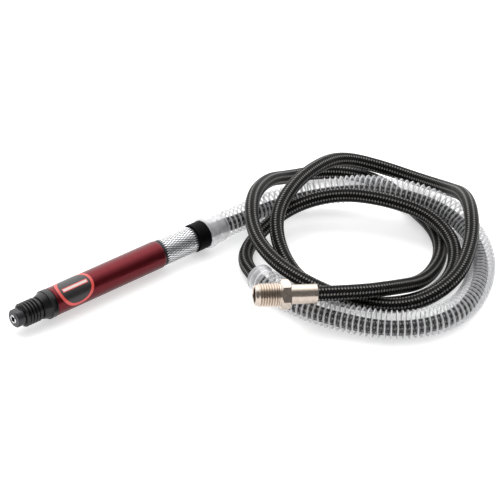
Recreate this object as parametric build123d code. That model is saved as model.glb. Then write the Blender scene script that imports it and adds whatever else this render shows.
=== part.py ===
from build123d import *
import math
import os

# Pencil-type pneumatic micro die grinder, lying on a flat surface, with its exhaust hose, the braided
# air hose that runs inside the exhaust hose and out of its open end, and a male pipe-thread inlet fitting.
# Frame: +X runs along the tool from the collet to the hoses, +Z is up, the surface is z = 0, and the
# origin lies under the middle of the tool (hoses and hose end fitting left out). Millimetres.

os.makedirs("parts", exist_ok=True)

# ---------------------------------------------------------------- driving dimensions
# clearances
run_gap = 0.05          # radial gap of every turning or sliding fit
seat_gap = 0.05         # radial gap of a push fit inside the tool
face_gap = 0.10         # axial gap between faces that turn against each other

# collet and collet nut
shank_d = 3.0           # 3 mm burr shank
nut_d = 10.2
nut_len = 10.4
nut_protrusion = 4.8
nut_flats = 9.0
collet_face_d = 5.0
collet_d = 6.0
collet_len = 13.0
collet_proud = 0.4
collet_slot = 0.5
nut_travel = 0.75       # how far one turn of the nut lets the collet come forward

# nose housing
nose_thread_d = 13.4
nose_thread_pitch = 2.0
nose_ridges = 5
nose_thread_depth = 0.8
nose_thread_len = 11.5
nose_cone_len = 4.0
nose_flange_len = 3.9
nose_flange_d = 16.4
nose_flats = 14.6
flat_turn = 70.0          # the wrench flats stand a little tipped from upright
nose_spigot_len = 8.0

# red motor housing
housing_d = 16.0
housing_wall = 1.3
housing_len = 75.0
housing_chamfer = 0.5

# air motor
front_bearing = (5.0, 11.0, 4.0)    # bore, outside diameter, width
rear_bearing = (4.0, 9.0, 4.0)
ball_count = 7
plate_len = 3.0
cylinder_len = 36.0
cylinder_bore_d = 10.2
rotor_d = 9.2
rotor_offset = 0.45     # the rotor lies this far from the middle of the cylinder's bore
vane_count = 4
vane_thick = 0.95
vane_height = 2.6
slot_gap = 0.05
locating_pin_d = 1.2
exhaust_ports = 6
passage_z = 1.2         # exhaust passage milled along the outside, on the +Y side
passage_width = 3.6
passage_depth = 0.9
exhaust_port_len = 2.0
exhaust_port_height = 1.6
inlet_angle = 200       # where the air enters behind the vanes

# throttle and rear end
sleeve_d = 15.6
sleeve_len = 24.3
valve_core_d = 11.6
spool_d = 7.0
spool_len = 14.0
drive_pin_d = 1.6
throttle_swing = 90.0   # degrees between shut and full air
air_bore_d = 3.0
collar_d = 16.4
collar_len = 8.7
cuff_bead_d = 19.0
cuff_bead_len = 4.8
cuff_neck_d = 16.2
cuff_sleeve_d = 17.0
cuff_len = 11.8
cuff_wall = 1.9

# hoses
exhaust_d = 16.0
exhaust_wall = 1.5
air_hose_d = 8.2
air_hose_bore_d = 4.4
crimp_len = 7.0
crimp_wall = 0.6

# hose end fitting with 1/4 inch NPT thread
ferrule_d = 10.6
ferrule_len = 14.7
hose_in_ferrule = 5.0
hex_flats = 14.0
hex_len = 5.3
pipe_thread_d = 13.6
pipe_pitch = 25.4 / 18
pipe_thread_len = 13.9
pipe_mouth_d = 8.5
pipe_mouth_depth = 9.0

# Exhaust hose route, from the face of the cuff. X counts from that face and Z from the surface.
# The first point lies on the tool's axis.
exhaust_route = [
    (0, 0, 9.5), (19, 0, 9.5), (43, 1, 8.1), (74, -14, 12), (92, -45, 19.4), (107, -77, 15.4),
    (100, -110, 8.2), (73, -137, 8.1), (39, -152, 8.1), (6, -140, 8.1), (-13, -107, 8.1),
    (-20, -76, 8.1), (-16.5, -53, 8.1)]

# Air hose route, from the same face: along the bottom of the exhaust hose, out of its open end, three
# loose turns over and under each other, and up onto the exhaust hose, where the end fitting rests.
air_route = [
    (-16, 0, 9.5), (-1, 0, 9.5), (15, 0, 7.3), (43, 1, 6.0), (74, -14, 9.8), (92, -45, 17.2),
    (107, -77, 13.2), (100, -110, 6.1), (73, -137, 6.0), (39, -152, 6.0), (6, -140, 6.0),
    (-13, -107, 6.0), (-20, -76, 6.0), (-17, -51, 5.9),
    (-7, -28, 4.4), (15, -16, 6), (41, -16, 14.5), (65, -30, 20), (81, -54, 20.3), (93, -79, 15.8),
    (86.5, -105, 10), (66, -121, 4.4), (38, -125, 4.2), (13, -110, 4.2), (1, -83, 4.2), (3, -54, 7),
    (17, -27, 18), (44, -12, 24.5), (75, -3, 24), (98, 1, 18), (117, -11, 10), (129, -33, 5.5),
    (128.5, -59, 10.5), (113.5, -84, 24), (98, -104, 28), (81, -121, 22), (54, -136, 16),
    (25, -132, 9.5), (4, -112, 10), (-8, -86, 14.8), (-9, -57, 16.5), (0, -29, 19), (19, -6, 24.5),
    (47, 12, 17.5), (70, 19.5, 7), (91, 16, 4.2), (107, 1, 4.2), (112, -22, 4.2), (105, -49, 4.2),
    (97, -79, 4.2), (78.5, -101.5, 4.2), (50, -115.5, 6.5), (22, -118, 16), (-1, -113, 20.5),
    (-23, -99.6, 22.5)]

# ---------------------------------------------------------------- places along the tool
# Stations count from the face of the collet nut. place() then moves a piece into the object's frame.
nose_x = nut_protrusion
cone_x = nose_x + nose_thread_len
flange_x = cone_x + nose_cone_len
housing_x = flange_x + nose_flange_len
sleeve_x = housing_x + housing_len
collar_x = sleeve_x + sleeve_len
cuff_x = collar_x + collar_len
tool_len = cuff_x + cuff_len
middle_x = (tool_len - collet_proud) / 2
axis_height = cuff_bead_d / 2

housing_id = housing_d - 2 * housing_wall
inner_d = housing_id - 2 * seat_gap
front_bearing_x = housing_x + 2.0
front_plate_x = front_bearing_x + front_bearing[2] + 0.8
cylinder_x = front_plate_x + plate_len
rear_plate_x = cylinder_x + cylinder_len
rear_bearing_x = rear_plate_x + plate_len
rear_plate_end = rear_bearing_x + rear_bearing[2] + 0.6
valve_x = rear_plate_end
hose_x = tool_len + air_route[0][0]
nipple_flange_len = 1.0
valve_end = hose_x - nipple_flange_len
spool_x = sleeve_x + 4.0
drive_pin_x = spool_x + spool_len / 2


def place(shape):
    """Move a piece from the station frame (axis on X) into the object's frame."""
    return Pos(-middle_x, 0, axis_height) * shape


def turned(points):
    """Solid of revolution about the tool's axis from (station, radius) points."""
    return revolve(make_face(Polyline(*points, close=True)), Axis.X, 360)


def ring(x0, x1, outer_d, inner_diameter):
    """Plain ring between two stations."""
    r1 = outer_d / 2
    r0 = inner_diameter / 2
    return turned([(x0, r0), (x1, r0), (x1, r1), (x0, r1)])


def rod(x0, x1, diameter):
    """Plain cylinder between two stations."""
    r = diameter / 2
    return turned([(x0, 0), (x1, 0), (x1, r), (x0, r)])


def o_ring(x, groove_d, cord_d):
    """Round seal that lies in a groove of the given bottom diameter."""
    section = Pos(x, groove_d / 2 + cord_d / 2) * Circle(cord_d / 2)
    return revolve(section, Axis.X, 360)


def across_flats(x0, x1, outer_d, flats):
    """What is cut away to leave two flats on a round between two stations."""
    length = x1 - x0
    block = Pos((x0 + x1) / 2, 0, 0) * Box(length, outer_d * 2, outer_d * 2)
    keep = Pos((x0 + x1) / 2, 0, 0) * Box(length, outer_d * 2, flats)
    return block - keep


def save(node, shape):
    """Write one piece as its own STEP file."""
    export_step(shape, f"parts/{node}.step")


# ---------------------------------------------------------------- collet nut and collet
collet_bore_r = shank_d / 2
seat_r = collet_d / 2
face_r = collet_face_d / 2
thread_r = 4.0          # thread that joins nut and spindle
spindle_face_x = 3.6
taper_end_r = 2.4

nut_seat = [
    (0, face_r + run_gap), (0.8, face_r + run_gap), (0.8 + seat_r - face_r, seat_r + run_gap),
    (spindle_face_x - 0.2, seat_r + run_gap), (spindle_face_x - 0.2, thread_r + run_gap),
    (nut_len, thread_r + run_gap), (nut_len, nut_d / 2), (0.5, nut_d / 2), (0, nut_d / 2 - 0.5)]
collet_nut = turned(nut_seat)
collet_nut -= across_flats(-1, nut_protrusion - 0.8, nut_d, nut_flats)
save("collet_nut", place(collet_nut))

collet_profile = [
    (-collet_proud, collet_bore_r), (collet_len - collet_proud, collet_bore_r),
    (collet_len - collet_proud, taper_end_r), (spindle_face_x + 1.4, seat_r),
    (0.8 + seat_r - face_r, seat_r), (0.8, face_r), (-collet_proud + 0.2, face_r),
    (-collet_proud, face_r - 0.2)]
collet = turned(collet_profile)
for angle in (45, 135):
    slot_len = collet_len * 0.7
    slot = Pos(slot_len / 2 - collet_proud - 1, 0, 0) * Box(slot_len + 2, collet_d * 2, collet_slot)
    collet -= Rot(angle, 0, 0) * slot
save("collet", place(collet))

# ---------------------------------------------------------------- rotor and spindle
front_journal_r = front_bearing[0] / 2
rear_journal_r = rear_bearing[0] / 2
neck_r = 3.4
rotor_x0 = cylinder_x + face_gap
rotor_x1 = rear_plate_x - face_gap
spindle_end_x = rear_bearing_x + rear_bearing[2] + 0.3
socket_end_x = collet_len - collet_proud + 1.0

spindle = turned([
    (spindle_face_x, seat_r + run_gap), (spindle_face_x + 1.4, seat_r + run_gap),
    (collet_len - collet_proud, taper_end_r + run_gap), (socket_end_x, taper_end_r + run_gap),
    (socket_end_x + 0.6, 0), (spindle_end_x, 0), (spindle_end_x, rear_journal_r),
    (rotor_x1, rear_journal_r), (rotor_x1, rotor_d / 2), (rotor_x0, rotor_d / 2),
    (rotor_x0, front_journal_r), (front_bearing_x, front_journal_r), (front_bearing_x, neck_r),
    (nut_len + 0.6, neck_r), (nut_len + 0.6, thread_r), (spindle_face_x, thread_r)])
slot_depth = vane_height + 0.2
slot_mid_r = rotor_d / 2 - slot_depth / 2
vane_mid_r = rotor_d / 2 - 0.1 - vane_height / 2
rotor_len = rotor_x1 - rotor_x0
vane_len = rotor_len - 0.2
vane_mid_x = (rotor_x0 + rotor_x1) / 2
for index in range(vane_count):
    turn = Rot(45 + index * 360 / vane_count, 0, 0)
    slot = Box(rotor_len + 1, vane_thick + 2 * slot_gap, slot_depth + 0.5)
    slot_body = turn * Pos(vane_mid_x, 0, slot_mid_r + 0.25) * slot
    slot_body &= ring(rotor_x0, rotor_x1, rotor_d + 2, rotor_d - 2 * slot_depth)
    spindle -= slot_body
    vane = Box(vane_len, vane_thick, vane_height)
    save(f"vane_{index + 1}", place(turn * Pos(vane_mid_x, 0, vane_mid_r) * vane))
save("rotor_spindle", place(spindle))


# ---------------------------------------------------------------- ball bearings
def bearing(x, size, prefix):
    """Write the rings, cage and balls of one deep-groove ball bearing that starts at station x."""
    bore, outer, width = size
    pitch_r = (bore + outer) / 4
    ball_r = (outer - bore) * 0.16
    groove_r = ball_r + 0.04
    land = ball_r * 0.6
    mid_x = x + width / 2
    groove = revolve(Pos(mid_x, pitch_r) * Circle(groove_r), Axis.X, 360)
    inner = ring(x, x + width, 2 * (pitch_r - land), bore) - groove
    outer_ring = ring(x, x + width, outer, 2 * (pitch_r + land)) - groove
    cage = ring(mid_x - ball_r * 1.3, mid_x + ball_r * 1.3, 2 * pitch_r + ball_r * 0.7,
                2 * pitch_r - ball_r * 0.7)
    balls = []
    for index in range(ball_count):
        turn = Rot(index * 360 / ball_count, 0, 0)
        cage -= turn * Pos(mid_x, 0, pitch_r) * Sphere(ball_r + 0.05)
        balls.append(place(turn * Pos(mid_x, 0, pitch_r) * Sphere(ball_r)))
    save(f"{prefix}_bearing_inner", place(inner))
    save(f"{prefix}_bearing_outer", place(outer_ring))
    save(f"{prefix}_bearing_cage", place(cage))
    save(f"{prefix}_bearing_balls", Compound(balls))


bearing(front_bearing_x, front_bearing, "front")
bearing(rear_bearing_x, rear_bearing, "rear")

# ---------------------------------------------------------------- nose housing
nose_root_r = nose_thread_d / 2 - nose_thread_depth
nose_end_x = housing_x + nose_spigot_len
pocket_r = front_bearing[1] / 2
nut_pocket_r = nut_d / 2 + 0.35
nut_pocket_x = nut_len + nut_travel + 0.6
neck_hole_r = neck_r + 0.3

ridge_points = []
for index in range(nose_ridges):
    start = nose_x + index * nose_thread_pitch
    ridge_points += [
        (start + 0.25, nose_root_r), (start + 0.75, nose_thread_d / 2),
        (start + 1.25, nose_thread_d / 2), (start + 1.75, nose_root_r)]
nose_outline = [(nose_x, nut_pocket_r), (nose_x, nose_root_r)] + ridge_points + [
    (cone_x - 0.9, nose_root_r), (cone_x - 0.9, nose_root_r - 0.3), (cone_x, nose_root_r - 0.3),
    (cone_x, nose_thread_d / 2 - 0.2), (flange_x, nose_flange_d / 2 - 0.5),
    (flange_x, nose_flange_d / 2 - 0.2), (flange_x + 0.2, nose_flange_d / 2),
    (housing_x - 0.2, nose_flange_d / 2), (housing_x, nose_flange_d / 2 - 0.2),
    (housing_x, inner_d / 2), (nose_end_x, inner_d / 2), (nose_end_x, pocket_r),
    (front_bearing_x, pocket_r), (front_bearing_x, neck_hole_r), (nut_pocket_x, neck_hole_r),
    (nut_pocket_x, nut_pocket_r)]
nose_housing = turned(nose_outline)
nose_housing -= Rot(flat_turn, 0, 0) * across_flats(
    flange_x + 0.5, housing_x - 0.5, nose_flange_d, nose_flats)
seal_x = nut_pocket_x + 2.0
seal_len = 2.0
nose_housing -= ring(seal_x, seal_x + seal_len, 2 * neck_hole_r + 2.4, neck_r)
front_oring_x = housing_x + nose_spigot_len * 0.6
front_oring_cord = 0.65
front_groove_d = inner_d - 2 * front_oring_cord
nose_housing -= ring(front_oring_x - 0.5, front_oring_x + 0.5, inner_d + 1, front_groove_d)
save("nose_housing", place(nose_housing))
save("nose_seal", place(ring(seal_x, seal_x + seal_len, 2 * neck_hole_r + 2.4, 2 * neck_r + 0.2)))
save("housing_oring", place(o_ring(front_oring_x, front_groove_d, front_oring_cord)))

# preload ring between the front bearing's outer ring and the front plate
spring_x = front_bearing_x + front_bearing[2]
spring_len = front_plate_x - spring_x
spring_ring = turned([
    (spring_x, pocket_r - 0.2), (spring_x, pocket_r - 1.0), (spring_x + spring_len, pocket_r - 0.8),
    (spring_x + spring_len, pocket_r - 0.05), (spring_x + spring_len * 0.6, pocket_r - 0.05)])
save("preload_spring", place(spring_ring))

# ---------------------------------------------------------------- motor housing
tube_r = housing_d / 2
edge = housing_chamfer
motor_housing = turned([
    (housing_x, housing_id / 2), (housing_x, tube_r - edge), (housing_x + edge, tube_r),
    (sleeve_x - 1.0, tube_r), (sleeve_x - 0.3, tube_r - 0.3), (sleeve_x, tube_r - 0.9),
    (sleeve_x, housing_id / 2)])
save("motor_housing", place(motor_housing))

# ---------------------------------------------------------------- cylinder, end plates and pin
bore_low_r = cylinder_bore_d / 2 - rotor_offset
pin_z = -(bore_low_r + inner_d / 2) / 2
plate_hole_d = front_bearing[0] + 2 * run_gap
pin_hole = Pos(0, 0, pin_z) * rod(nose_end_x + 0.3, rear_plate_x + plate_len - 0.4, locating_pin_d)

front_plate = ring(front_plate_x, cylinder_x, inner_d, plate_hole_d) - pin_hole
front_plate &= rod(nose_end_x, cylinder_x, housing_d) + rod(front_plate_x, nose_end_x, 2 * pocket_r - 0.1)
save("front_plate", place(front_plate))

cylinder_bore = Pos(0, 0, rotor_offset) * rod(cylinder_x - 1, rear_plate_x + 1, cylinder_bore_d)
motor_cylinder = rod(cylinder_x, rear_plate_x, inner_d) - cylinder_bore - pin_hole
for index in range(exhaust_ports):
    exhaust_port_x = cylinder_x + cylinder_len * (index + 1) / (exhaust_ports + 1)
    port = Pos(exhaust_port_x, inner_d / 2 - 0.6, passage_z)
    motor_cylinder -= port * Box(exhaust_port_len, 4.0, exhaust_port_height)
# milled passage along the outside, from the ports to the rear
motor_cylinder -= Pos((cylinder_x + rear_plate_x) / 2, inner_d / 2, passage_z) * Box(
    cylinder_len + 1, passage_depth, passage_width)
save("motor_cylinder", place(motor_cylinder))
save("cylinder_pin", place(pin_hole))

rear_plate = ring(rear_plate_x, rear_plate_end, inner_d, rear_bearing[0] + 2 * run_gap)
rear_plate -= ring(rear_bearing_x, rear_plate_end + 1, rear_bearing[1], 0.5)
rear_plate -= pin_hole
rear_plate -= Pos((rear_plate_x + rear_plate_end) / 2, inner_d / 2, passage_z) * Box(
    rear_plate_end - rear_plate_x + 2, passage_depth, passage_width)
inlet_d = 1.4
inlet_r = (rear_bearing[0] + rear_bearing[1]) / 4 + 0.3
rear_plate -= Rot(inlet_angle, 0, 0) * Pos(0, 0, inlet_r) * rod(rear_plate_x - 1, rear_bearing_x + 0.5, inlet_d)
save("rear_plate", place(rear_plate))

# ---------------------------------------------------------------- valve body
core_r = valve_core_d / 2
spool_r = spool_d / 2
spool_hole_r = spool_r + run_gap
flange_back_x = sleeve_x - face_gap
exhaust_hole_d = 1.2
exhaust_hole_r = (spool_hole_r + core_r) / 2
exhaust_gallery_x = flange_back_x - 4.0
exhaust_holes = 5
spool_bore_x = spool_x - 0.5
pocket_len = 1.5

valve_body = turned([
    (valve_x, air_bore_d / 2), (spool_bore_x, air_bore_d / 2), (spool_bore_x, spool_hole_r),
    (valve_end, spool_hole_r), (valve_end, core_r), (flange_back_x, core_r),
    (flange_back_x, inner_d / 2), (valve_x, inner_d / 2)])
# pocket that hands the air to the rear bearing and the motor
valve_body -= rod(valve_x - 1, valve_x + pocket_len, rear_bearing[1] - 1)
# the exhaust comes along the outside, into a ring gallery, and on through holes past the spool
valve_body -= Pos((valve_x + exhaust_gallery_x) / 2, inner_d / 2, passage_z) * Box(
    exhaust_gallery_x - valve_x + 1, passage_depth, passage_width)
valve_body -= ring(exhaust_gallery_x, exhaust_gallery_x + 2, inner_d + 1,
                   2 * exhaust_hole_r + exhaust_hole_d * 0.5)
hole_step = (360 - throttle_swing - 80) / (exhaust_holes - 1)
for index in range(exhaust_holes):
    turn = Rot(throttle_swing + 40 + index * hole_step, 0, 0)
    valve_body -= turn * Pos(0, 0, exhaust_hole_r) * rod(exhaust_gallery_x + 1, valve_end + 1, exhaust_hole_d)
# slot for the drive pin: its ends stop the throttle
slot_half = drive_pin_d / 2 + run_gap
slot_section = [
    (drive_pin_x - slot_half, spool_r - 0.5), (drive_pin_x + slot_half, spool_r - 0.5),
    (drive_pin_x + slot_half, core_r + 1), (drive_pin_x - slot_half, core_r + 1)]
slot_sweep = revolve(make_face(Polyline(*slot_section, close=True)), Axis.X, throttle_swing)
valve_body -= Rot(90, 0, 0) * slot_sweep
for angle in (0, throttle_swing):
    valve_body -= Rot(angle, 0, 0) * Pos(drive_pin_x, 0, core_r) * Box(
        2 * slot_half, 2 * slot_half, core_r + 1)
# air passage that the spool's port opens: from the spool's bore forward into the air bore
spool_port_x = spool_x + 2.2
port_d = 1.8
passage_len = spool_port_x - spool_bore_x + 2.4
passage = Pos(spool_port_x - passage_len / 2 + port_d / 2, 0, 1.9) * Box(passage_len, port_d, spool_r)
valve_body -= Rot(180 + throttle_swing, 0, 0) * passage
# grooves for the two seals under the throttle sleeve
sleeve_seal_cord = 0.45
sleeve_seals = []
for seal_station in (sleeve_x + 1.6, collar_x - 1.6):
    groove_d = valve_core_d - 2 * sleeve_seal_cord
    valve_body -= ring(seal_station - 0.35, seal_station + 0.35, valve_core_d + 1, groove_d)
    sleeve_seals.append(place(o_ring(seal_station, groove_d, sleeve_seal_cord)))
save("valve_body", place(valve_body))
save("sleeve_orings", Compound(sleeve_seals))

# ---------------------------------------------------------------- spool, drive pin, throttle sleeve
spool_end_x = spool_x + spool_len
spool_bore_r = 1.2
spool = turned([
    (spool_x, 0), (spool_port_x - 0.6, 0), (spool_port_x - 0.6, spool_bore_r), (spool_end_x, spool_bore_r),
    (spool_end_x, spool_r), (spool_x, spool_r)])
spool -= Rot(180, 0, 0) * Pos(spool_port_x, 0, spool_r / 2) * Cylinder(port_d / 2 - 0.1, spool_r + 1)
spool_seal_cord = 0.5
spool_seals = []
for seal_station in (spool_port_x + 2.2, spool_end_x - 2.4):
    groove_d = spool_d - 2 * spool_seal_cord
    spool -= ring(seal_station - 0.4, seal_station + 0.4, spool_d + 1, groove_d)
    spool_seals.append(place(o_ring(seal_station, groove_d, spool_seal_cord)))
pin_r0 = spool_bore_r + 0.4
pin_r1 = sleeve_d / 2 - 0.8
drive_pin = Pos(drive_pin_x, 0, (pin_r0 + pin_r1) / 2) * Cylinder(drive_pin_d / 2, pin_r1 - pin_r0)
spool -= drive_pin
save("valve_spool", place(spool))
save("spool_orings", Compound(spool_seals))
save("drive_pin", place(drive_pin))

sleeve_r = sleeve_d / 2
sleeve_x0 = sleeve_x + face_gap
sleeve_x1 = collar_x - face_gap
throttle_sleeve = turned([
    (sleeve_x0, core_r + run_gap), (sleeve_x0, sleeve_r - 0.5), (sleeve_x0 + 0.5, sleeve_r),
    (sleeve_x1 - 0.5, sleeve_r), (sleeve_x1, sleeve_r - 0.5), (sleeve_x1, core_r + run_gap)])
throttle_sleeve -= drive_pin
save("throttle_sleeve", place(throttle_sleeve))

# ---------------------------------------------------------------- rear collar, cuff, silencer
collar_r = collar_d / 2
chamber_r = collar_r - 0.9
exhaust_bore_r = exhaust_d / 2 - exhaust_wall
rear_collar = turned([
    (collar_x, core_r), (collar_x, collar_r - 0.3), (collar_x + 0.3, collar_r),
    (cuff_x - 0.4, collar_r), (cuff_x, collar_r - 0.4), (cuff_x, chamber_r),
    (valve_end, chamber_r), (valve_end, core_r)])
save("rear_collar", place(rear_collar))

bead_r = cuff_bead_d / 2
neck_x = cuff_x + cuff_bead_len
shoulder_x = neck_x + 2.0
cuff_sleeve_r = cuff_sleeve_d / 2
cuff_neck_r = cuff_neck_d / 2
shank_x = valve_end + 1.2
exhaust_cuff = turned([
    (shank_x, exhaust_bore_r), (shank_x, chamber_r - seat_gap), (cuff_x, chamber_r - seat_gap),
    (cuff_x, bead_r - 1.0), (cuff_x + 0.4, bead_r - 0.4), (cuff_x + 1.4, bead_r),
    (neck_x - 1.4, bead_r), (neck_x - 0.4, bead_r - 0.4), (neck_x, cuff_neck_r),
    (shoulder_x, cuff_neck_r), (shoulder_x + 0.5, cuff_sleeve_r), (tool_len - 0.4, cuff_sleeve_r),
    (tool_len, cuff_sleeve_r - 0.4), (tool_len, exhaust_bore_r)])
save("exhaust_cuff", place(exhaust_cuff))

hose_r = air_hose_d / 2
hose_bore_r = air_hose_bore_d / 2
crimp_x = hose_x + 0.2
crimp_r = hose_r + crimp_wall
save("hose_crimp", place(ring(crimp_x, crimp_x + crimp_len, 2 * crimp_r, air_hose_d)))
felt_x = shank_x + 0.5
felt_len = 4.0
save("silencer_felt", place(ring(felt_x, felt_x + felt_len, 2 * exhaust_bore_r, 2 * crimp_r + 0.1)))

nipple_x = spool_end_x + 1.0
nipple_bore_r = 1.2
barb_r = hose_bore_r
barb_root_r = barb_r - 0.35
barb_count = 3
barb_pitch = 2.4
barb_end_x = hose_x + 0.4 + barb_count * barb_pitch
barb_points = []
for index in range(barb_count):
    barb_start = hose_x + 0.4 + index * barb_pitch
    barb_points += [(barb_start, barb_root_r), (barb_start, barb_r)]
nipple = turned([
    (nipple_x, nipple_bore_r), (nipple_x, spool_hole_r), (valve_end, spool_hole_r),
    (valve_end, hose_r), (hose_x, hose_r), (hose_x, barb_root_r)] + barb_points + [
    (barb_end_x, barb_root_r), (barb_end_x, nipple_bore_r)])
save("air_nipple", place(nipple))


# ---------------------------------------------------------------- hoses
def arc_radii(points):
    """Radius of the arc at each corner: 0.45 of the shorter run over the tangent of half the turn."""
    radii = []
    for before, corner, after in zip(points, points[1:], points[2:]):
        run_in = Vector(*corner) - Vector(*before)
        run_out = Vector(*after) - Vector(*corner)
        turn = math.radians(run_in.get_angle(run_out))
        radii.append(0.45 * min(run_in.length, run_out.length) / math.tan(turn / 2))
    return radii


def hose(name, points, outer_d, inner_diameter):
    """Plain tube along straight runs joined by tangent arcs, from the face of the cuff."""
    radii = arc_radii(points)
    print(name, "radii", [round(radius) for radius in radii])
    path = FilletPolyline(*points, radius=radii)
    start = Plane(origin=path @ 0, z_dir=path % 0)
    section = start * (Circle(outer_d / 2) - Circle(inner_diameter / 2))
    tube = sweep(section, path)
    area = math.pi / 4 * (outer_d ** 2 - inner_diameter ** 2)
    print(name, "length", round(path.length, 1), "volume share", round(tube.volume / (area * path.length), 4))
    return Pos(tool_len - middle_x, 0, 0) * tube


save("exhaust_hose", hose("exhaust_hose", exhaust_route, exhaust_d, 2 * exhaust_bore_r))
save("air_hose", hose("air_hose", air_route, air_hose_d, air_hose_bore_d))

# ---------------------------------------------------------------- end fitting
# Its own frame: X runs out of the hose's end face along the fitting.
last = Vector(*air_route[-1])
out = (last - Vector(*air_route[-2])).normalized()
up = (Vector(0, 0, 1) - out * out.Z).normalized()
fitting_frame = Pos(tool_len - middle_x, 0, 0) * Plane(origin=last, x_dir=out, z_dir=up).location

ferrule_x0 = -hose_in_ferrule
ferrule_x1 = ferrule_x0 + ferrule_len
ferrule_r = ferrule_d / 2
ferrule_bore_r = hose_r + 0.02
ferrule = turned([
    (ferrule_x0, ferrule_bore_r), (ferrule_x0, ferrule_r - 0.3), (ferrule_x0 + 0.3, ferrule_r),
    (ferrule_x1 - 0.1, ferrule_r), (ferrule_x1, ferrule_r - 0.1), (ferrule_x1, ferrule_bore_r)])
save("hose_ferrule", fitting_frame * ferrule)

hex_x1 = ferrule_x1 + hex_len
mouth_x = hex_x1 + pipe_thread_len
pipe_r = pipe_thread_d / 2
taper = 1 / 32          # radius lost per millimetre of pipe thread
fitting_bore_r = 1.4
thread_points = []
groove_depth = 0.62
thread_count = int((pipe_thread_len - 1.6) / pipe_pitch)
for index in range(thread_count):
    start = hex_x1 + 0.9 + index * pipe_pitch
    crest = pipe_r - taper * (start - hex_x1)
    thread_points += [
        (start, crest - groove_depth), (start + pipe_pitch * 0.42, crest),
        (start + pipe_pitch * 0.58, crest)]
end_crest = pipe_r - taper * pipe_thread_len
thread_end = hex_x1 + 0.9 + thread_count * pipe_pitch
fitting = turned([
    (0.05, fitting_bore_r), (0.05, hose_r), (ferrule_x1, hose_r),
    (ferrule_x1, pipe_r - 0.2), (hex_x1, pipe_r - 0.2), (hex_x1, pipe_r - groove_depth)]
    + thread_points + [
    (thread_end, end_crest - groove_depth), (mouth_x - 0.4, end_crest - groove_depth),
    (mouth_x, end_crest - groove_depth - 0.4), (mouth_x, pipe_mouth_d / 2 + 0.4),
    (mouth_x - 0.4, pipe_mouth_d / 2), (mouth_x - pipe_mouth_depth, pipe_mouth_d / 2),
    (mouth_x - pipe_mouth_depth - 1.5, fitting_bore_r)])
hex_blank = extrude(Plane.YZ * RegularPolygon(hex_flats / 2, 6, major_radius=False), hex_len)
hex_round = turned([
    (0, fitting_bore_r), (0, hex_flats / 2), (0.9, hex_flats * 0.58), (hex_len - 0.9, hex_flats * 0.58),
    (hex_len, hex_flats / 2), (hex_len, fitting_bore_r)])
fitting += Pos(ferrule_x1, 0, 0) * (hex_blank & hex_round)
tail = ring(-7.0, 0.05, 2 * hose_bore_r, 2 * fitting_bore_r)
save("inlet_fitting", fitting_frame * (fitting + tail))

print("tool length", round(tool_len, 2), "axis height", axis_height)
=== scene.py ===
import math

import bmesh
import bpy
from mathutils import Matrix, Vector


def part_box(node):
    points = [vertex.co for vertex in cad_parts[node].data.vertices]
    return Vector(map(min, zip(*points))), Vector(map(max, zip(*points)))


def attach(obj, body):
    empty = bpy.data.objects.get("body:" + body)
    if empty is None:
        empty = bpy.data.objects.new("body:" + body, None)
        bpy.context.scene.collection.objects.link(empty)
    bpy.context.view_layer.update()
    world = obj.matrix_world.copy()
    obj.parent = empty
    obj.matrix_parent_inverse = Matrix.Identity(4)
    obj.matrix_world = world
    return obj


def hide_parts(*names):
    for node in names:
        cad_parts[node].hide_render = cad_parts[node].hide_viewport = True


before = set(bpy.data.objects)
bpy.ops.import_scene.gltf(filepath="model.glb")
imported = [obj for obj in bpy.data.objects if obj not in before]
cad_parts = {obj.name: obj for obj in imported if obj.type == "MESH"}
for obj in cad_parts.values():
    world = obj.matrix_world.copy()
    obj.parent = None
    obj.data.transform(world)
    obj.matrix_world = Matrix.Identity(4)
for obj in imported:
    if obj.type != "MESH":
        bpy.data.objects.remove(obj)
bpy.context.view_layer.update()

# ---------------------------------------------------------------- rotor and spindle
# The rotor and its spindle are one piece of alloy steel, turned, milled for the vanes and ground.
# The four vanes are cut from resin-bonded cloth and slide in the rotor's slots.

mm = 0.001
axis_height = sum(corner[2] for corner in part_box("motor_housing")) / 2


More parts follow.
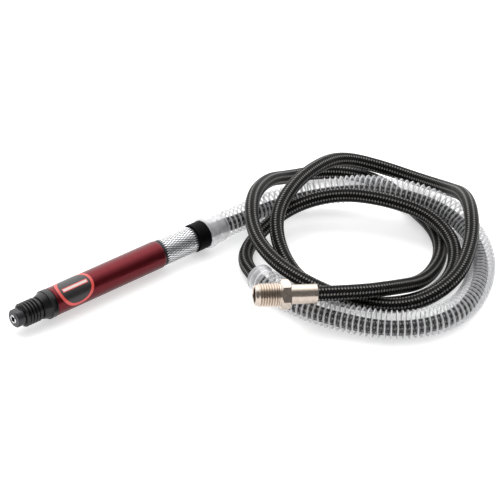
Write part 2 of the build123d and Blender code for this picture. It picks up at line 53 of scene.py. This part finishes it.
class Wire:
    """A socket of one finish's nodes. Sums of wires and numbers add their Math nodes."""

    def __init__(self, tree, socket=None):
        self.tree = tree
        self.socket = socket

    def node(self, kind, settings, values, output=0):
        """A new node: its settings come first, then the values or wires of its sockets."""
        made = self.tree.nodes.new(kind)
        for name, value in settings.items():
            setattr(made, name, value)
        self.feed(made, values)
        return Wire(self.tree, made.outputs[output])

    def feed(self, node, values):
        """Give a node's sockets these values or wires."""
        for name, value in values.items():
            if isinstance(value, Wire):
                self.tree.links.new(value.socket, node.inputs[name])
            else:
                node.inputs[name].default_value = value

    def math(self, operation, *values):
        return self.node("ShaderNodeMath", {"operation": operation}, dict(enumerate(values)))

    def __add__(self, other):
        return self.math("ADD", self, other)

    def __radd__(self, other):
        return self.math("ADD", other, self)

    def __sub__(self, other):
        return self.math("SUBTRACT", self, other)

    def __rsub__(self, other):
        return self.math("SUBTRACT", other, self)

    def __mul__(self, other):
        return self.math("MULTIPLY", self, other)

    def __rmul__(self, other):
        return self.math("MULTIPLY", other, self)

    def __truediv__(self, other):
        return self.math("DIVIDE", self, other)

    def __lt__(self, other):
        return self.math("LESS_THAN", self, other)

    def __abs__(self):
        return self.math("ABSOLUTE", self)

    def place(self):
        """The point being shaded, in the object's frame."""
        return self.node("ShaderNodeTexCoord", {}, {}, "Object")

    def stretched(self, x, y, z):
        """A vector multiplied part by part."""
        return self.node("ShaderNodeVectorMath", {"operation": "MULTIPLY"}, {0: self, 1: (x, y, z)})

    def part(self, axis):
        """One part of a vector: X, Y or Z."""
        return self.node("ShaderNodeSeparateXYZ", {}, {0: self}, axis)

    def noise(self, scale, detail=2.0):
        """Noise read at this vector, from 0 to 1."""
        return self.node("ShaderNodeTexNoise", {},
                         {"Vector": self, "Scale": scale, "Detail": detail}, "Fac")

    def step(self, low, high):
        """Rises smoothly from 0 at low to 1 at high."""
        return self.node("ShaderNodeMapRange", {"interpolation_type": "SMOOTHSTEP"},
                         {"Value": self, "From Min": low, "From Max": high})

    def mix(self, first, second):
        """The first colour where this wire is 0, and the second where it is 1."""
        first_colour, second_colour, mixed = 6, 7, 2
        return self.node("ShaderNodeMix", {"data_type": "RGBA"},
                         {"Factor": self, first_colour: first, second_colour: second}, mixed)

    def fraction(self):
        """What is left over the whole number below."""
        return self.math("FRACT", self)

    def floor(self):
        """The whole number below."""
        return self.math("FLOOR", self)

    def modulo(self, count):
        """What is left after whole counts are taken away."""
        return self.math("FLOORED_MODULO", self, count)

    def bump(self, depth):
        """A normal from this height, whose full range is depth."""
        return self.node("ShaderNodeBump", {}, {"Height": self, "Distance": depth, "Strength": 1.0})


def start_finish(name, constants):
    """A material with one Principled shader set to these constants, that shader, and its first wire."""
    material = bpy.data.materials.new(name)
    material.use_nodes = True
    shader = material.node_tree.nodes["Principled BSDF"]
    wire = Wire(material.node_tree)
    wire.feed(shader, constants)
    return material, shader, wire


def turned_metal(name, colour, roughness, marks=0.08, depth=0.004 * mm):
    """Metal off a lathe: fine rings round the tool's axis and a slow cloudiness."""
    material, shader, wire = start_finish(name, {"Metallic": 1.0})
    rings = wire.place().stretched(9000, 300, 300).noise(1.0, 3.0)
    cloud = wire.place().noise(160.0)
    dull = tuple(part * 0.72 for part in colour[:3]) + (1,)
    wire.feed(shader, {
        "Base Color": (cloud * 0.6 + rings * 0.3).mix(dull, colour),
        "Roughness": roughness - marks / 2 + marks * rings + 0.06 * cloud,
        "Normal": rings.bump(depth)})
    return material


def wear_finish(material, *nodes):
    """Give CAD pieces this material."""
    for node in nodes:
        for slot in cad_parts[node].material_slots:
            slot.material = material


ground_steel = turned_metal("ground_steel", (0.62, 0.62, 0.63, 1), 0.26)
wear_finish(ground_steel, "rotor_spindle", "cylinder_pin", "drive_pin")

vane_resin, shader, wire = start_finish("vane_resin", {"Specular IOR Level": 0.4})
layers = wire.place().stretched(300, 4000, 4000).noise(1.0, 4.0)
wire.feed(shader, {
    "Base Color": layers.mix((0.16, 0.075, 0.03, 1), (0.42, 0.24, 0.11, 1)),
    "Roughness": 0.45 + 0.2 * layers,
    "Normal": layers.bump(0.02 * mm)})
wear_finish(vane_resin, "vane_1", "vane_2", "vane_3", "vane_4")

# ---------------------------------------------------------------- ball bearings
# Two deep-groove ball bearings carry the spindle. Rings and balls are polished bearing steel, and the
# cages are moulded in glass-filled nylon.

bearing_steel = turned_metal("bearing_steel", (0.74, 0.74, 0.76, 1), 0.12, marks=0.04, depth=0.001 * mm)
wear_finish(bearing_steel, "front_bearing_inner", "front_bearing_outer", "front_bearing_balls",
            "rear_bearing_inner", "rear_bearing_outer", "rear_bearing_balls")

cage_nylon, shader, wire = start_finish("cage_nylon", {"Specular IOR Level": 0.5})
fibres = wire.place().noise(2600.0, 4.0)
wire.feed(shader, {
    "Base Color": fibres.mix((0.40, 0.31, 0.18, 1), (0.66, 0.55, 0.36, 1)),
    "Roughness": 0.38 + 0.15 * fibres,
    "Normal": fibres.bump(0.006 * mm)})
wear_finish(cage_nylon, "front_bearing_cage", "rear_bearing_cage")

# ---------------------------------------------------------------- nose housing
# The nose is turned from steel and blackened. It screws into the barrel, holds the front bearing, and
# has a thread at its front for guards. A felt ring and a rubber ring seal it.

black_oxide, shader, wire = start_finish("black_oxide", {
    "Specular IOR Level": 0.2, "Coat Weight": 0.30, "Coat Roughness": 0.08})
rings = wire.place().stretched(7000, 200, 200).noise(1.0, 3.0)
cloud = wire.place().noise(420.0, 4.0)
wire.feed(shader, {
    "Base Color": cloud.mix((0.002, 0.002, 0.0022, 1), (0.006, 0.006, 0.0065, 1)),
    "Roughness": 0.30 + 0.10 * cloud + 0.05 * rings,
    "Normal": (rings * 0.7 + cloud * 0.3).bump(0.006 * mm)})
wear_finish(black_oxide, "nose_housing")

seal_rubber, shader, wire = start_finish("seal_rubber", {"Specular IOR Level": 0.35})
bloom = wire.place().noise(900.0, 3.0)
wire.feed(shader, {
    "Base Color": bloom.mix((0.008, 0.008, 0.008, 1), (0.025, 0.025, 0.024, 1)),
    "Roughness": 0.5 + 0.2 * bloom,
    "Normal": bloom.bump(0.005 * mm)})
wear_finish(seal_rubber, "housing_oring", "sleeve_orings", "spool_orings")

felt_wool, shader, wire = start_finish("felt_wool", {"Roughness": 0.95, "Sheen Weight": 0.3})
hairs = wire.place().stretched(1.0, 0.6, 1.4).noise(3600.0, 6.0)
wire.feed(shader, {
    "Base Color": hairs.mix((0.30, 0.28, 0.24, 1), (0.72, 0.69, 0.62, 1)),
    "Normal": hairs.bump(0.15 * mm)})
wear_finish(felt_wool, "nose_seal", "silencer_felt")

spring_steel = turned_metal("spring_steel", (0.42, 0.40, 0.38, 1), 0.32)
wear_finish(spring_steel, "preload_spring")

# ---------------------------------------------------------------- motor cylinder and end plates
# The cylinder that the vanes run in and its two end plates are cast iron, bored and faced. A pin lines
# them up.

cast_iron, shader, wire = start_finish("cast_iron", {"Metallic": 1.0})
grain = wire.place().noise(1500.0, 5.0)
rings = wire.place().stretched(5000, 200, 200).noise(1.0)
wire.feed(shader, {
    "Base Color": grain.mix((0.16, 0.155, 0.15, 1), (0.36, 0.355, 0.35, 1)),
    "Roughness": 0.42 + 0.2 * grain,
    "Normal": (grain * 0.6 + rings * 0.4).bump(0.02 * mm)})
wear_finish(cast_iron, "front_plate", "motor_cylinder", "rear_plate")

# ---------------------------------------------------------------- barrel
# The barrel is an aluminium tube, turned all over, with a chamfer at its front and a soft edge at its
# rear, anodised and dyed dark red.

red_anodised, shader, wire = start_finish("red_anodised", {
    "Metallic": 1.0, "Coat Roughness": 0.12, "Coat Weight": 0.25})
rings = wire.place().stretched(5200, 120, 120).noise(1.0, 3.0)
cloud = wire.place().noise(240.0, 3.0)
wire.feed(shader, {
    "Base Color": (cloud * 0.5 + rings * 0.5).mix((0.075, 0.003, 0.006, 1), (0.135, 0.007, 0.013, 1)),
    "Roughness": 0.30 + 0.08 * rings + 0.05 * cloud,
    "Normal": rings.bump(0.003 * mm)})
wear_finish(red_anodised, "motor_housing")

# ---------------------------------------------------------------- badge
# A round printed foil, black with a pale red rim and a plain bar, stuck round the side of the barrel.

badge_radius = 11.6 * mm
badge_thickness = 0.12 * mm
badge_from_front = 14.0 * mm
badge_turn = math.radians(60)       # from level, on the -Y side, towards the top
badge_rim = (9.75, 11.45)           # millimetres from the middle
badge_bar = (8.35, 1.2)             # half its length and half its width
badge_bar_pale = (7.95, 0.7)
line_blur = 0.05
badge_rings = 14
badge_segments = 128
barrel_low, barrel_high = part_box("motor_housing")
barrel_radius = (barrel_high[2] - barrel_low[2]) / 2


def new_piece(name, mesh, material):
    """Put a finished mesh into the scene as one of the object's pieces."""
    piece = bpy.data.objects.new(name, mesh)
    bpy.context.scene.collection.objects.link(piece)
    mesh.materials.append(material)
    return piece


def spun(profile, steps, axis=(1, 0, 0), closed=True):
    """A bmesh made by turning a profile of points all the way round an axis through the origin."""
    made = bmesh.new()
    verts = [made.verts.new(point) for point in profile]
    pairs = list(zip(verts, verts[1:]))
    if closed:
        pairs.append((verts[-1], verts[0]))
    edges = [made.edges.new(pair) for pair in pairs]
    bmesh.ops.spin(made, geom=verts + edges, cent=(0, 0, 0), axis=axis, angle=math.tau,
                   steps=steps, use_merge=True)
    bmesh.ops.remove_doubles(made, verts=made.verts, dist=0.001 * mm)
    bmesh.ops.recalc_face_normals(made, faces=made.faces)
    return made


def smooth_mesh(name, made, sharp=35):
    """Turn a bmesh into a mesh with smooth shading, sharp over steep edges."""
    mesh = bpy.data.meshes.new(name)
    for face in made.faces:
        face.smooth = True
    for edge in made.edges:
        edge.smooth = edge.calc_face_angle(0) < math.radians(sharp)
    made.to_mesh(mesh)
    made.free()
    return mesh


foil_profile = [(badge_radius * step / badge_rings, 0, badge_thickness) for step in range(badge_rings)]
foil_profile += [(badge_radius - 0.06 * mm, 0, badge_thickness), (badge_radius, 0, badge_thickness * 0.4)]
foil_profile += [(badge_radius * step / badge_rings, 0, 0) for step in range(badge_rings, -1, -1)]
foil = spun(foil_profile, badge_segments, axis=(0, 0, 1), closed=False)
drawing = foil.loops.layers.uv.new("drawing")
for face in foil.faces:
    for loop in face.loops:
        loop[drawing].uv = (loop.vert.co.x / mm, loop.vert.co.y / mm)
badge_x = barrel_low[0] + badge_from_front
for vert in foil.verts:
    turn = badge_turn + vert.co.y / barrel_radius
    reach = barrel_radius + 0.01 * mm + vert.co.z
    vert.co = (badge_x + vert.co.x, -reach * math.cos(turn), axis_height + reach * math.sin(turn))

printed_foil, shader, wire = start_finish("printed_foil", {"Specular IOR Level": 0.5, "Roughness": 0.3})
flat = wire.node("ShaderNodeUVMap", {"uv_map": "drawing"}, {})
across = flat.part("X")
round_it = flat.part("Y")
away = wire.node("ShaderNodeVectorMath", {"operation": "LENGTH"}, {0: flat}, "Value")


def inside(distance, reach):
    """1 nearer than reach and 0 past it, with a blurred line between."""
    return 1 - distance.step(reach - line_blur, reach + line_blur)


rim = inside(away, badge_rim[1]) * (1 - inside(away, badge_rim[0]))
bar = inside(abs(round_it), badge_bar[1]) * inside(abs(across), badge_bar[0])
bar_light = inside(abs(round_it), badge_bar_pale[1]) * inside(abs(across), badge_bar_pale[0])
flecks = flat.noise(3.0, 4.0)
ground = flecks.mix((0.010, 0.009, 0.010, 1), (0.022, 0.018, 0.018, 1))
inked = rim.math("MAXIMUM", rim, bar).mix(ground, (0.80, 0.085, 0.075, 1))
wire.feed(shader, {
    "Base Color": bar_light.mix(inked, (0.85, 0.72, 0.68, 1)),
    "Normal": flecks.bump(0.004 * mm)})
foil_mesh = smooth_mesh("badge", foil)
badge = new_piece("badge", foil_mesh, printed_foil)
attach(badge, "root")

# ---------------------------------------------------------------- valve body and spool
# The valve body is turned aluminium, screwed into the barrel's rear. The brass spool turns in it with
# the throttle sleeve, through the drive pin.

valve_alloy = turned_metal("valve_alloy", (0.70, 0.70, 0.72, 1), 0.24)
wear_finish(valve_alloy, "valve_body", "hose_crimp")
turned_brass = turned_metal("turned_brass", (0.72, 0.50, 0.20, 1), 0.22)
wear_finish(turned_brass, "valve_spool", "air_nipple")

# ---------------------------------------------------------------- throttle sleeve
# The sleeve that is twisted to let the air in is bright aluminium, turned and then rolled with a knurl
# of long diamonds between two plain bands.

knurl_around = 34
knurl_rows = 6
knurl_depth = 0.42 * mm
knurl_land = 0.32 * mm
knurl_slope = 1.35              # width of a groove's side as a share of the land
sleeve_edge = 0.3 * mm
plain_band = 0.7 * mm
sleeve_low, sleeve_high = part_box("throttle_sleeve")
sleeve_radius = (sleeve_high[2] - sleeve_low[2]) / 2
sleeve_length = sleeve_high[0] - sleeve_low[0]
sleeve_bore = 5.85 * mm
root_radius = sleeve_radius - knurl_depth

half = sleeve_length / 2
knurl_half = half - plain_band
sleeve_profile = [(-knurl_half + 2 * knurl_half * row / knurl_rows, 0, root_radius)
                  for row in range(knurl_rows + 1)]
sleeve_profile += [
    (knurl_half, 0, root_radius), (half - sleeve_edge, 0, root_radius),
    (half, 0, root_radius - sleeve_edge),
    (half, 0, sleeve_bore), (-half, 0, sleeve_bore),
    (-half, 0, root_radius - sleeve_edge), (-half + sleeve_edge, 0, root_radius)]
sleeve = spun(sleeve_profile, knurl_around)


def on_knurl(face):
    """Whether a face lies on the knurled stretch's outside."""
    middle = face.calc_center_median()
    return abs(middle.x) < knurl_half and middle.yz.length > outer_half


outer_half = root_radius * 0.95
knurled = [face for face in sleeve.faces if on_knurl(face)]
old_edges = {edge for face in knurled for edge in face.edges}
rim_edges = {edge for edge in old_edges if not all(face in knurled for face in edge.link_faces)}
bmesh.ops.poke(sleeve, faces=knurled)
bmesh.ops.dissolve_edges(sleeve, edges=list(old_edges - rim_edges), use_verts=False)
for vert in sleeve.verts:
    off_axis = Vector((0, vert.co.y, vert.co.z))
    if abs(vert.co.x) < knurl_half + 0.001 * mm and outer_half < off_axis.length < sleeve_radius:
        vert.co += off_axis.normalized() * (root_radius - off_axis.length)
diamonds = [face for face in sleeve.faces if on_knurl(face) and len(face.verts) == 4]
bmesh.ops.inset_individual(sleeve, faces=diamonds, thickness=knurl_land * knurl_slope, depth=knurl_depth)
bmesh.ops.translate(sleeve, verts=sleeve.verts,
                    vec=((sleeve_low[0] + sleeve_high[0]) / 2, 0, axis_height))

knurled_alloy, shader, wire = start_finish("knurled_alloy", {"Metallic": 1.0})
off_axis = (wire.place().node("ShaderNodeVectorMath", {"operation": "SUBTRACT"},
            {0: wire.place(), 1: (0, 0, axis_height)})).stretched(0, 1, 1)
reach = wire.node("ShaderNodeVectorMath", {"operation": "LENGTH"}, {0: off_axis}, "Value")
crest = reach.step(root_radius, sleeve_radius - 0.04 * mm)
scuffs = wire.place().stretched(1400, 2600, 2600).noise(1.0, 4.0)
# The grooves between the diamonds are painted almost black as painted shade, and the crests bright metal;
# the crests are also made smoother.
wire.feed(shader, {
    "Base Color": crest.mix((0.05, 0.05, 0.055, 1), (0.86, 0.86, 0.87, 1)),
    "Roughness": 0.42 - 0.20 * crest + 0.10 * scuffs,
    "Normal": scuffs.bump(0.004 * mm)})
throttle = new_piece("knurled_sleeve", smooth_mesh("knurled_sleeve", sleeve, sharp=20), knurled_alloy)
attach(throttle, "throttle")
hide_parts("throttle_sleeve")

# ---------------------------------------------------------------- rear collar
# The collar that closes the throttle and takes the exhaust cuff is moulded in black nylon.

collar_nylon, shader, wire = start_finish("collar_nylon", {"Specular IOR Level": 0.03})
moulding = wire.place().noise(1800.0, 3.0)
wire.feed(shader, {
    "Base Color": moulding.mix((0.002, 0.002, 0.002, 1), (0.005, 0.005, 0.005, 1)),
    "Roughness": 0.34 + 0.12 * moulding,
    "Normal": moulding.bump(0.006 * mm)})
wear_finish(collar_nylon, "rear_collar")

# ---------------------------------------------------------------- collet and collet nut
# The collet is hardened steel, ground and sawn into four jaws. Its nut is blackened steel with two
# flats for a spanner.

collet_steel = turned_metal("collet_steel", (0.66, 0.66, 0.68, 1), 0.22)
wear_finish(collet_steel, "collet")
nut_black, shader, wire = start_finish("nut_black", {"Metallic": 0.6, "Specular IOR Level": 0.6})
rings = wire.place().stretched(6000, 500, 500).noise(1.0, 3.0)
cloud = wire.place().noise(900.0, 4.0)
wire.feed(shader, {
    "Base Color": cloud.mix((0.018, 0.018, 0.020, 1), (0.05, 0.05, 0.055, 1)),
    "Roughness": 0.26 + 0.12 * cloud + 0.05 * rings,
    "Normal": (rings * 0.5 + cloud * 0.5).bump(0.008 * mm)})
wear_finish(nut_black, "collet_nut")

# ---------------------------------------------------------------- exhaust cuff and hose
# The exhaust hose is blown in clear vinyl, with a thick smooth cuff pushed onto the collar and a lip
# round its open end. Its ribs are thicker than the wall between them, so they look whiter.

exhaust_radius = 8.0 * mm
exhaust_root = 6.85 * mm
exhaust_bore = 6.5 * mm
rib_pitch = 3.15 * mm
hose_end_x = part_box("exhaust_cuff")[1][0]
exhaust_route = [
    (0, 0, 9.5), (19, 0, 9.5), (43, 1, 8.1), (74, -14, 12), (92, -45, 19.4), (107, -77, 15.4),
    (100, -110, 8.2), (73, -137, 8.1), (39, -152, 8.1), (6, -140, 8.1), (-13, -107, 8.1),
    (-20, -76, 8.1), (-16.5, -53, 8.1)]


class Line:
    """The smooth line of a hose through its route's control points, in millimetres from the cuff's face."""

    def __init__(self, route):
        curve = bpy.data.curves.new("line", "CURVE")
        curve.dimensions = "3D"
        curve.resolution_u = 24
        spline = curve.splines.new("NURBS")
        spline.points.add(len(route) - 1)
        for point, (x, y, z) in zip(spline.points, route):
            point.co = (hose_end_x + x * mm, y * mm, z * mm, 1)
        spline.order_u = 3
        spline.use_endpoint_u = True
        holder = bpy.data.objects.new("line", curve)
        mesh = bpy.data.meshes.new_from_object(holder)
        self.points = [vert.co.copy() for vert in mesh.vertices]
        bpy.data.objects.remove(holder)
        bpy.data.meshes.remove(mesh)
        bpy.data.curves.remove(curve)
        self.stations = [0.0]
        for near, far in zip(self.points, self.points[1:]):
            self.stations.append(self.stations[-1] + (far - near).length)
        self.length = self.stations[-1]
        ahead = (self.points[1] - self.points[0]).normalized()
        side = ahead.cross(Vector((0, 0, 1))).normalized()
        self.frames = []
        for index, point in enumerate(self.points):
            before = self.points[max(index - 1, 0)]
            after = self.points[min(index + 1, len(self.points) - 1)]
            turned = (after - before).normalized()
            side = ahead.rotation_difference(turned) @ side
            side = (side - turned * side.dot(turned)).normalized()
            ahead = turned
            self.frames.append((ahead.copy(), side.copy(), side.cross(ahead)))

    def lay(self, made):
        """Bend a hose that was made straight along X from the origin onto the line."""
        order = sorted(made.verts, key=lambda vert: vert.co.x)
        index = 0
        for vert in order:
            while index < len(self.stations) - 2 and self.stations[index + 1] < vert.co.x:
                index += 1
            share = (vert.co.x - self.stations[index]) / (self.stations[index + 1] - self.stations[index])
            ahead, side, up = (near.lerp(far, min(max(share, 0), 1)).normalized()
                               for near, far in zip(self.frames[index], self.frames[index + 1]))
            middle = self.points[index].lerp(self.points[index + 1], share)
            vert.co = middle + side * vert.co.y + up * vert.co.z


def unrolled(made, name):
    """Write turns round the hose and millimetres along it as the mesh's map."""
    layer = made.loops.layers.uv.new(name)
    for face in made.faces:
        middle = face.calc_center_median()
        face_turn = math.atan2(middle.z, middle.y) / math.tau
        for loop in face.loops:
            turn = math.atan2(loop.vert.co.z, loop.vert.co.y) / math.tau
            loop[layer].uv = (turn + round(face_turn - turn), loop.vert.co.x / mm)


exhaust_line = Line(exhaust_route)
rib_shape = [(0.0, 0.0), (0.2, 0.06), (0.34, 0.5), (0.44, 0.94), (0.5, 1.0), (0.56, 0.94), (0.66, 0.5),
             (0.8, 0.06)]
lip_length = 5.5 * mm
lip_blur = (0.5, 1.0)               # millimetres before and past the lip's start
rib_count = int((exhaust_line.length - lip_length) / rib_pitch)
outer_wall = []
inner_wall = []
for rib in range(rib_count):
    start = rib * rib_pitch
    for share, rise in rib_shape:
        reach = exhaust_root + rise * (exhaust_radius - exhaust_root)
        outer_wall.append((start + share * rib_pitch, 0, reach))
    for share, rise in ((0.05, 0.0), (0.3, 0.2), (0.5, 0.85), (0.7, 0.2)):
        inner_wall.append((start + share * rib_pitch, 0, exhaust_bore + rise * 0.8 * mm))
lip_x = rib_count * rib_pitch
end_x = exhaust_line.length
outer_wall += [
    (lip_x, 0, exhaust_root), (lip_x + 1.4 * mm, 0, exhaust_root + 0.1 * mm),
    (end_x - 3.0 * mm, 0, exhaust_radius - 0.5 * mm), (end_x - 2.4 * mm, 0, exhaust_radius - 0.05 * mm),
    (end_x - 0.7 * mm, 0, exhaust_radius), (end_x - 0.2 * mm, 0, exhaust_radius - 0.3 * mm),
    (end_x, 0, exhaust_radius - 0.7 * mm), (end_x, 0, exhaust_bore + 0.3 * mm),
    (end_x - 0.3 * mm, 0, exhaust_bore)]
exhaust_body = spun(outer_wall + inner_wall[::-1], 32)
unrolled(exhaust_body, "along")
exhaust_line.lay(exhaust_body)


def clear_vinyl(name, ribbed):
    """Clear vinyl: more is seen through it head on and between ribs, and edges and ribs look white."""
    material, shader, wire = start_finish(name, {
        "Base Color": (0.80, 0.80, 0.82, 1), "Specular IOR Level": 0.5, "Coat Weight": 0.3,
        "Coat Roughness": 0.08})
    edge_on = wire.node("ShaderNodeLayerWeight", {}, {"Blend": 0.35}, "Facing")
    haze = wire.place().noise(260.0, 3.0)
    if ribbed:
        along = wire.node("ShaderNodeUVMap", {"uv_map": "along"}, {}).part("Y")
        phase = (along / (rib_pitch / mm)).fraction()
        crest = 1 - abs(phase - 0.5).step(0.04, 0.18)
        lip = along.step(lip_x / mm - lip_blur[0], lip_x / mm + lip_blur[1])
        veil = 0.02 + 0.60 * crest + 0.22 * edge_on * edge_on + 0.04 * haze + 0.35 * lip
    else:
        veil = 0.24 + 0.60 * edge_on * edge_on + 0.22 * haze
    wire.feed(shader, {"Alpha": veil, "Roughness": 0.10 + 0.10 * haze,
                       "Normal": haze.bump(0.03 * mm)})
    return material


ribbed_vinyl = clear_vinyl("ribbed_vinyl", True)
cuff_vinyl = clear_vinyl("cuff_vinyl", False)
wear_finish(cuff_vinyl, "exhaust_cuff")
exhaust_hose = new_piece("ribbed_hose", smooth_mesh("ribbed_hose", exhaust_body, 60), ribbed_vinyl)
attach(exhaust_hose, "root")
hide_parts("exhaust_hose")

# ---------------------------------------------------------------- air hose
# The supply hose is rubber under a black nylon braid, with pale dashes in rows along it. It starts on the
# barbed nipple, runs out through the exhaust hose, and lies in loose turns.

air_radius = 4.1 * mm
air_bore = 2.2 * mm
air_route = [
    (-16, 0, 9.5), (-1, 0, 9.5), (15, 0, 7.3), (43, 1, 6.0), (74, -14, 9.8), (92, -45, 17.2),
    (107, -77, 13.2), (100, -110, 6.1), (73, -137, 6.0), (39, -152, 6.0), (6, -140, 6.0),
    (-13, -107, 6.0), (-20, -76, 6.0), (-17, -51, 5.9),
    (-7, -28, 4.4), (15, -16, 6), (41, -16, 14.5), (65, -30, 20), (81, -54, 20.3), (93, -79, 15.8),
    (86.5, -105, 10), (66, -121, 4.4), (38, -125, 4.2), (13, -110, 4.2), (1, -83, 4.2), (3, -54, 7),
    (17, -27, 18), (44, -12, 24.5), (75, -3, 24), (98, 1, 18), (117, -11, 10), (129, -33, 5.5),
    (128.5, -59, 10.5), (113.5, -84, 24), (98, -104, 28), (81, -121, 22), (54, -136, 16),
    (25, -132, 9.5), (4, -112, 10), (-8, -86, 14.8), (-9, -57, 16.5), (0, -29, 19), (19, -6, 24.5),
    (47, 12, 17.5), (70, 19.5, 7), (91, 16, 4.2), (107, 1, 4.2), (112, -22, 4.2), (105, -49, 4.2),
    (97, -79, 4.2), (78.5, -101.5, 4.2), (50, -115.5, 6.5), (22, -118, 16), (-1, -113, 20.5),
    (-23, -99.6, 22.5)]

air_line = Line(air_route)
ring_step = 2.0 * mm
ring_total = int(air_line.length / ring_step)
skin = [(air_line.length * ring / ring_total, 0, air_radius) for ring in range(ring_total + 1)]
lining = [(air_line.length * ring / ring_total, 0, air_bore) for ring in range(ring_total, -1, -4)]
if lining[-1][0] > 0:
    lining.append((0, 0, air_bore))
air_body = spun(skin + lining, 32)
unrolled(air_body, "along")
air_line.lay(air_body)

strands = 12
cell_length = 1.75
braid, shader, wire = start_finish("braid", {"Specular IOR Level": 0.08})
chart = wire.node("ShaderNodeUVMap", {"uv_map": "along"}, {})
right_hand = chart.part("X") * strands + chart.part("Y") / cell_length
left_hand = chart.part("X") * strands - chart.part("Y") / cell_length
right_cell = right_hand.floor()
left_cell = left_hand.floor()
row = right_cell + left_cell
right_over = row.modulo(2)
right_bow = 1 - abs((right_hand - right_cell) - 0.5) * 2
left_bow = 1 - abs((left_hand - left_cell) - 0.5) * 2
bow = right_over * right_bow + (1 - right_over) * left_bow
dip = right_over * left_bow + (1 - right_over) * right_bow
weave_rise_and_shade = bow.step(0.0, 0.8) * 0.65 + dip.step(0.0, 0.7) * 0.35
threads = wire.node("ShaderNodeCombineXYZ", {}, {0: right_hand, 1: left_hand}).noise(9.0, 3.0)
# Pale dashes on the crowns of every third row of cells, in lines along the hose.
pale_dash_row = row.modulo(3) < 0.5
pale_dash = pale_dash_row * dip.step(0.10, 0.40) * bow.step(0.05, 0.30)
# Base colour: each strand is painted a little lighter on its crown and darker where it dips, as painted
# highlight and painted shade; the same rise makes the bump.
wire.feed(shader, {
    "Base Color": (pale_dash * 0.8).mix(
        weave_rise_and_shade.mix((0.0003, 0.0003, 0.0004, 1), (0.006, 0.006, 0.0062, 1)), (0.30, 0.29, 0.28, 1)),
    "Roughness": 0.36 + 0.2 * threads,
    "Normal": (weave_rise_and_shade + threads * 0.12).bump(0.45 * mm)})
air_hose = new_piece("braided_hose", smooth_mesh("braided_hose", air_body, 60), braid)
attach(air_hose, "root")
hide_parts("air_hose")

# ---------------------------------------------------------------- inlet fitting
# The ferrule is drawn tube crimped on the hose, and the fitting is brass bar, turned, with a hexagon
# for the spanner and a pipe thread. Both are nickel plated.

nickel, shader, wire = start_finish("nickel", {"Metallic": 1.0})
stain = wire.place().noise(420.0, 4.0)
scratches = wire.place().stretched(600, 5200, 2400).noise(1.0, 3.0)
wire.feed(shader, {
    "Base Color": stain.mix((0.42, 0.35, 0.29, 1), (0.66, 0.58, 0.51, 1)),
    "Roughness": 0.13 + 0.12 * scratches + 0.08 * stain,
    "Normal": scratches.bump(0.003 * mm)})
wear_finish(nickel, "hose_ferrule", "inlet_fitting")

# ---------------------------------------------------------------- surface, light and camera
# A plain pale surface under soft light, with the camera in front of the tool's left side and above it.

ground_mesh = bpy.data.meshes.new("ground")
sheet = bmesh.new()
bmesh.ops.create_grid(sheet, x_segments=1, y_segments=1, size=4.0)
sheet.to_mesh(ground_mesh)
sheet.free()
pale, shader, wire = start_finish("pale_surface", {
    "Base Color": (0.85, 0.85, 0.85, 1), "Roughness": 0.9, "Specular IOR Level": 0.1,
    "Emission Color": (1, 1, 1, 1), "Emission Strength": 0.5})
ground = new_piece("ground", ground_mesh, pale)

view_turn = math.radians(41.18)
view_drop = math.radians(32)
dim_light = 0.22
bright_light = 1.7
world = bpy.data.worlds.new("studio")
world.use_nodes = True
bpy.context.scene.world = world
backdrop = world.node_tree.nodes["Background"]
sky = Wire(world.node_tree)
toward = sky.node("ShaderNodeTexCoord", {}, {}, "Generated")
far_side = Vector((math.sin(view_turn), math.cos(view_turn), 0.35)).normalized()
behind = sky.node("ShaderNodeVectorMath", {"operation": "DOT_PRODUCT"}, {0: toward, 1: far_side}, "Value")
sky.feed(backdrop, {"Color": (1.0, 1.0, 1.0, 1), "Strength": dim_light + (bright_light - dim_light)
                    * behind.step(-0.05, 0.45)})


def soft_box(name, place, aim, size, power):
    """A square soft light at a place, facing a point."""
    data = bpy.data.lights.new(name, "AREA")
    data.shape = "RECTANGLE"
    data.size, data.size_y = size
    data.energy = power
    lamp = bpy.data.objects.new(name, data)
    bpy.context.scene.collection.objects.link(lamp)
    lamp.location = place
    lamp.rotation_euler = (Vector(aim) - Vector(place)).to_track_quat("-Z", "Y").to_euler()


soft_box("top_light", place=(0.35, 0.45, 0.8), aim=(0.05, 0, 0), size=(1.3, 1.0), power=4.0)

view_distance = 1.2
view_target = Vector((78.9 * mm, -19.2 * mm, 0))
ahead = Vector((math.sin(view_turn) * math.cos(view_drop), math.cos(view_turn) * math.cos(view_drop),
                -math.sin(view_drop)))
lens = bpy.data.cameras.new("camera")
lens.sensor_width = 36
lens.lens = 151.6
camera = bpy.data.objects.new("camera", lens)
bpy.context.scene.collection.objects.link(camera)
camera.location = view_target - ahead * view_distance
camera.rotation_euler = ahead.to_track_quat("-Z", "Y").to_euler()
bpy.context.scene.camera = camera
bpy.context.scene.view_settings.view_transform = "Standard"
